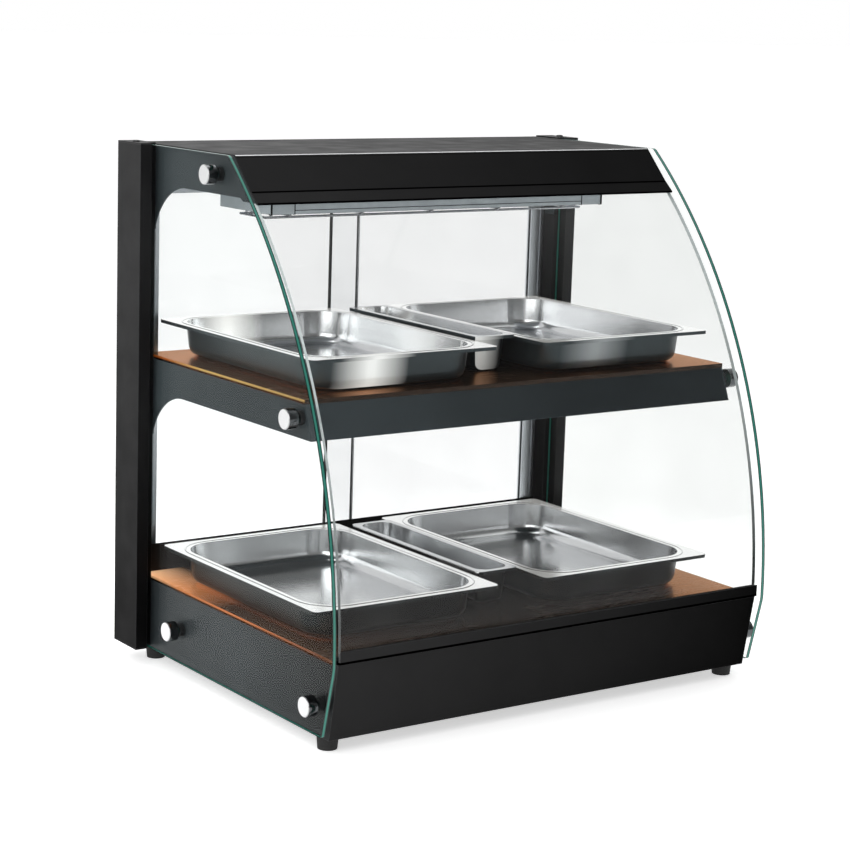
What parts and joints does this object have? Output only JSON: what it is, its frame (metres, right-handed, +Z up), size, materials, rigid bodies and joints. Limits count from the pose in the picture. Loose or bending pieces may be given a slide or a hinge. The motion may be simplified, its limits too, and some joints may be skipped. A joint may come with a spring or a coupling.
{
  "type": "hot food display case",
  "caption": "Countertop hot food display case with two heated levels, curved front glass, sliding rear doors and steel pans.",
  "frame": {"origin": "middle of the case's outline, on the surface that the feet stand on", "axes": "+X to the right as seen from the front glass, +Y towards the doors at the back, +Z up"},
  "size_m": [0.65, 0.467, 0.63],
  "materials": {
    "black_sheet": "satin",
    "hood_sheet": "satin",
    "side_sheet": "satin",
    "column_sheet": "satin",
    "ceiling_sheet": "satin",
    "copper_plate": "gloss",
    "galvanised": "satin",
    "guard_steel": "polished",
    "quartz": "gloss",
    "steel": "satin",
    "pan_steel": "polished",
    "chrome_pin": "polished",
    "side_glass": "clear",
    "front_glass": "clear",
    "door_glass": "clear",
    "rail_aluminium": "satin",
    "handle_aluminium": "satin",
    "seal_rubber": "matt",
    "clear_seal": "satin",
    "foot_rubber": "matt",
    "silicone": "matt",
    "black_plastic": "matt",
    "knob_plastic": "satin",
    "rocker_plastic": "gloss",
    "spacer_plastic": "satin",
    "lamp_lens": "gloss",
    "black_screw": "satin"
  },
  "bodies": {
    "case": {"base_shell": "black_sheet", "base_bottom_plate": "black_sheet", "base_rear_panel": "black_sheet", "control_recess": "black_sheet", "base_deck": "copper_plate", "base_heating_mat": "silicone", "glass_lip": "black_sheet", "foot_front_left": "foot_rubber", "foot_front_right": "foot_rubber", "foot_rear_left": "foot_rubber", "foot_rear_right": "foot_rubber", "thermostat_body": "black_plastic", "rocker_frames": "black_plastic", "pilot_lamp": "lamp_lens", "power_inlet": "black_plastic", "column_left": "column_sheet", "column_right": "column_sheet", "column_caps": "column_sheet", "column_screws": "black_screw", "hood_shell": "hood_sheet", "hood_side_left": "side_sheet", "hood_side_right": "side_sheet", "hood_ceiling": "ceiling_sheet", "hood_rear_panel": "black_sheet", "heater_reflector": "galvanised", "heater_end_caps": "galvanised", "heater_tubes": "quartz", "heater_guard": "guard_steel", "shelf_tray": "black_sheet", "shelf_side_left": "side_sheet", "shelf_side_right": "side_sheet", "shelf_deck": "copper_plate", "shelf_heating_mat": "silicone", "side_glass_left": "side_glass", "side_glass_right": "side_glass", "front_glass": "front_glass", "glass_pins": "chrome_pin", "glass_spacers": "spacer_plastic", "pin_nuts": "steel", "door_track_bottom": "rail_aluminium", "door_track_top": "rail_aluminium", "rear_upstand": "black_sheet", "panel_screws": "steel"},
    "left_door": {"door_left_pane": "door_glass", "door_left_handle": "handle_aluminium", "door_left_seal": "clear_seal"},
    "right_door": {"door_right_pane": "door_glass", "door_right_handle": "handle_aluminium", "door_right_seal": "seal_rubber"},
    "knob": {"thermostat_knob": "knob_plastic", "thermostat_shaft": "steel"},
    "power_switch": {"power_rocker": "rocker_plastic"},
    "light_switch": {"light_rocker": "rocker_plastic"},
    "dish_upper_left": {"pan_upper_left": "pan_steel"},
    "dish_upper_right": {"pan_upper_right": "pan_steel"},
    "dish_lower_left": {"pan_lower_left": "pan_steel"},
    "dish_lower_right": {"pan_lower_right": "pan_steel"},
    "narrow_dish_upper": {"trough_upper": "pan_steel"},
    "narrow_dish_lower": {"trough_lower": "pan_steel"}
  },
  "joints": [
    {"name": "left_door_slide", "type": "slide", "parent": "case", "child": "left_door", "axis": [1, 0, 0], "range_m": [0, 0.28]},
    {"name": "right_door_slide", "type": "slide", "parent": "case", "child": "right_door", "axis": [-1, 0, 0], "range_m": [0, 0.255]},
    {"name": "thermostat_turn", "type": "hinge", "parent": "case", "child": "knob", "pos_m": [0.206, 0.213, 0.059], "axis": [0, -1, 0], "range_deg": [0, 270]},
    {"name": "power_switch_rock", "type": "hinge", "parent": "case", "child": "power_switch", "pos_m": [0.09, 0.21, 0.059], "axis": [-1, 0, 0], "range_deg": [0, 14]},
    {"name": "light_switch_rock", "type": "hinge", "parent": "case", "child": "light_switch", "pos_m": [0.122, 0.21, 0.059], "axis": [-1, 0, 0], "range_deg": [0, 14]},
    {"name": "dish_upper_left_lift", "type": "slide", "parent": "case", "child": "dish_upper_left", "axis": [0, 0, 1], "range_m": [0, 0.01]},
    {"name": "dish_upper_right_lift", "type": "slide", "parent": "case", "child": "dish_upper_right", "axis": [0, 0, 1], "range_m": [0, 0.01]},
    {"name": "dish_lower_left_lift", "type": "slide", "parent": "case", "child": "dish_lower_left", "axis": [0, 0, 1], "range_m": [0, 0.05]},
    {"name": "dish_lower_right_lift", "type": "slide", "parent": "case", "child": "dish_lower_right", "axis": [0, 0, 1], "range_m": [0, 0.05]},
    {"name": "narrow_dish_upper_lift", "type": "slide", "parent": "case", "child": "narrow_dish_upper", "axis": [0, 0, 1], "range_m": [0, 0.05]},
    {"name": "narrow_dish_lower_lift", "type": "slide", "parent": "case", "child": "narrow_dish_lower", "axis": [0, 0, 1], "range_m": [0, 0.05]}
  ]
}
